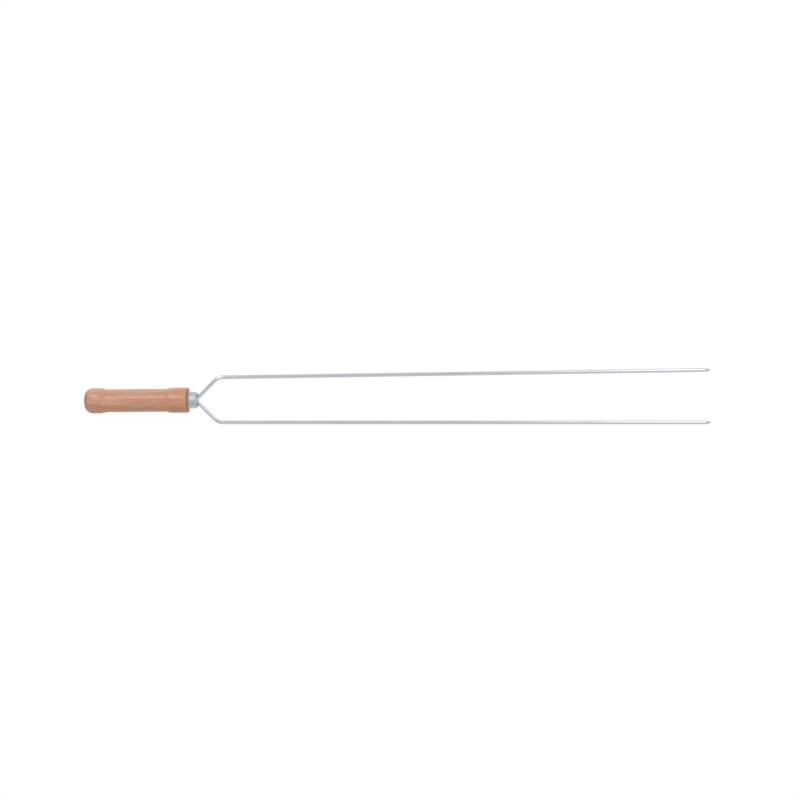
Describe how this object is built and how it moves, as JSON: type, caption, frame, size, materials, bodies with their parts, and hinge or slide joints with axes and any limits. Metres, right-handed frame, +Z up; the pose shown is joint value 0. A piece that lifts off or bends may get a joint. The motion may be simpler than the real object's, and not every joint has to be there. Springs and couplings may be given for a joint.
{
  "type": "marshmallow roasting fork",
  "caption": "Long roasting fork: straight pointed wire prongs on a V-shaped neck, held in a turned wooden handle with a rounded metal ferrule.",
  "frame": {"origin": "centre of the bounding box's bottom face, straight below the fork's axis, half way between the handle's butt and the tips", "axes": "+X from the handle's butt to the prong tips, along the handle's axis; +Y across the prongs, towards the left prong; +Z up, square to the plane of the prongs"},
  "size_m": [0.75, 0.0676, 0.0304],
  "materials": {
    "handle_wood": "satin clear varnish",
    "ferrule_metal": "smooth drawn, lightly polished",
    "prong_wire": "drawn wire, satin bright",
    "weld_metal": "as welded, matt",
    "adhesive": "hardened epoxy"
  },
  "bodies": {
    "root": {"handle": "handle_wood", "ferrule": "ferrule_metal", "prong_left": "prong_wire", "prong_right": "prong_wire", "weld_front_top": "weld_metal", "weld_front_bottom": "weld_metal", "weld_back_top": "weld_metal", "weld_back_bottom": "weld_metal", "adhesive_fill": "adhesive"}
  },
  "joints": []
}
